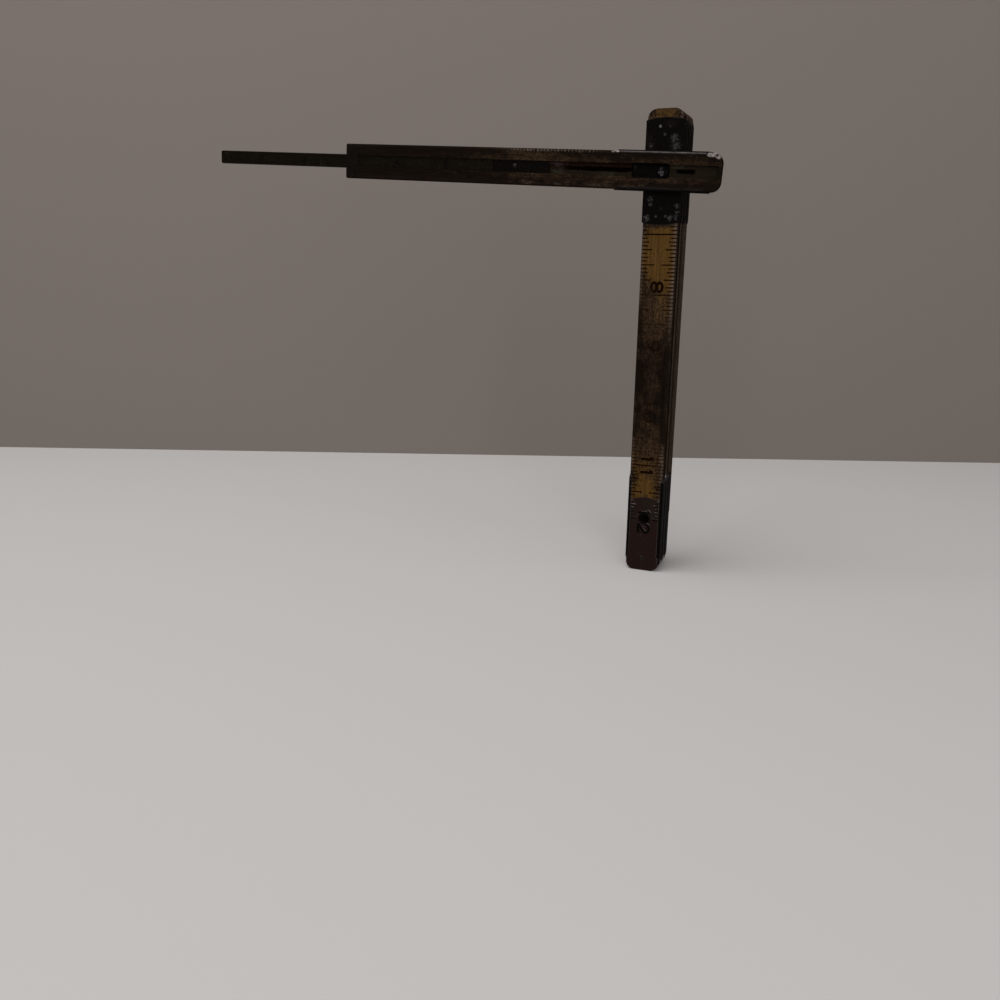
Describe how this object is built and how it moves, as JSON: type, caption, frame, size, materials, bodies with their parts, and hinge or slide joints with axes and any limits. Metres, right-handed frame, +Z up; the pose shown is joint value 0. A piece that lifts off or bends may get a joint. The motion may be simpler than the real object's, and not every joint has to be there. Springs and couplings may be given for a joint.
{
  "type": "folding ruler",
  "caption": "Wooden zigzag folding rule with riveted sheet-metal joints and a sliding metal blade, standing on its folded stack with one arm and the blade out.",
  "frame": {"origin": "middle of the lower end face of section 2, the front stick of the folded stack, on the surface that the stack stands on", "axes": "+Z up along the folded stack, +Y back through the stack away from the reader, +X across the sticks; the opened first section and the slide reach out towards -X"},
  "size_m": [0.2508, 0.0241, 0.2024],
  "materials": {
    "stick_wood": "worn varnish, darkened by handling",
    "joint_steel": "blackened and worn",
    "strike_metal": "dark brown tarnish",
    "pivot_metal": "dark tarnish, bright where rubbed",
    "pin_metal": "rubbed bright",
    "cap_metal": "dark tarnish",
    "slide_brass": "dark brown tarnish",
    "spring_steel": "blackened",
    "slide_rivet_metal": "rubbed bright"
  },
  "bodies": {
    "section_1": {"stick_1": "stick_wood", "joint_plate_1_front": "joint_steel", "plate_pins_1": "pin_metal", "zero_end_cap": "cap_metal"},
    "slide": {"slide_blade": "slide_brass", "slide_spring": "spring_steel", "slide_rivet": "slide_rivet_metal"},
    "section_2": {"stick_2": "stick_wood", "joint_plate_1_rear": "joint_steel", "strike_plate_1_rear": "strike_metal", "plate_pins_2": "pin_metal", "joint_plate_2_front": "joint_steel", "strike_plate_2_front": "strike_metal", "pivot_eyelet_2": "pivot_metal", "pivot_rivet_1": "pivot_metal"},
    "section_3": {"stick_3": "stick_wood", "joint_plate_2_rear": "joint_steel", "strike_plate_2_rear": "strike_metal", "plate_pins_3": "pin_metal", "joint_plate_3_front": "joint_steel", "strike_plate_3_front": "strike_metal", "pivot_eyelet_3": "pivot_metal"},
    "section_4": {"stick_4": "stick_wood", "joint_plate_3_rear": "joint_steel", "strike_plate_3_rear": "strike_metal", "plate_pins_4": "pin_metal", "joint_plate_4_front": "joint_steel", "strike_plate_4_front": "strike_metal", "pivot_eyelet_4": "pivot_metal"},
    "section_5": {"stick_5": "stick_wood", "joint_plate_4_rear": "joint_steel", "strike_plate_4_rear": "strike_metal", "plate_pins_5": "pin_metal", "joint_plate_5_front": "joint_steel", "strike_plate_5_front": "strike_metal", "pivot_eyelet_5": "pivot_metal"},
    "section_6": {"stick_6": "stick_wood", "joint_plate_5_rear": "joint_steel", "strike_plate_5_rear": "strike_metal", "plate_pins_6": "pin_metal", "joint_plate_6_front": "joint_steel", "strike_plate_6_front": "strike_metal", "pivot_eyelet_6": "pivot_metal"},
    "section_7": {"stick_7": "stick_wood", "joint_plate_6_rear": "joint_steel", "strike_plate_6_rear": "strike_metal", "plate_pins_7": "pin_metal", "joint_plate_7_front": "joint_steel", "strike_plate_7_front": "strike_metal", "pivot_eyelet_7": "pivot_metal"},
    "section_8": {"stick_8": "stick_wood", "joint_plate_7_rear": "joint_steel", "strike_plate_7_rear": "strike_metal", "plate_pins_8": "pin_metal", "far_end_cap": "cap_metal"}
  },
  "joints": [
    {"name": "hinge_1", "type": "hinge", "parent": "section_2", "child": "section_1", "pos_m": [0, -0.00145, 0.1774], "axis": [0, 1, 0], "range_deg": [-273, 87]},
    {"name": "slide_travel", "type": "slide", "parent": "section_1", "child": "slide", "axis": [-0.9986, 0, 0.0523], "range_m": [-0.0733, 0.0791]},
    {"name": "hinge_2", "type": "hinge", "parent": "section_2", "child": "section_3", "pos_m": [0, 0.00145, 0.025], "axis": [0, 1, 0], "range_deg": [-180, 180]},
    {"name": "hinge_3", "type": "hinge", "parent": "section_3", "child": "section_4", "pos_m": [0, 0.00435, 0.1774], "axis": [0, 1, 0], "range_deg": [-180, 180]},
    {"name": "hinge_4", "type": "hinge", "parent": "section_4", "child": "section_5", "pos_m": [0, 0.00725, 0.025], "axis": [0, 1, 0], "range_deg": [-180, 180]},
    {"name": "hinge_5", "type": "hinge", "parent": "section_5", "child": "section_6", "pos_m": [0, 0.01015, 0.1774], "axis": [0, 1, 0], "range_deg": [-180, 180]},
    {"name": "hinge_6", "type": "hinge", "parent": "section_6", "child": "section_7", "pos_m": [0, 0.01305, 0.025], "axis": [0, 1, 0], "range_deg": [-180, 180]},
    {"name": "hinge_7", "type": "hinge", "parent": "section_7", "child": "section_8", "pos_m": [0, 0.01595, 0.1774], "axis": [0, 1, 0], "range_deg": [-180, 180]}
  ]
}
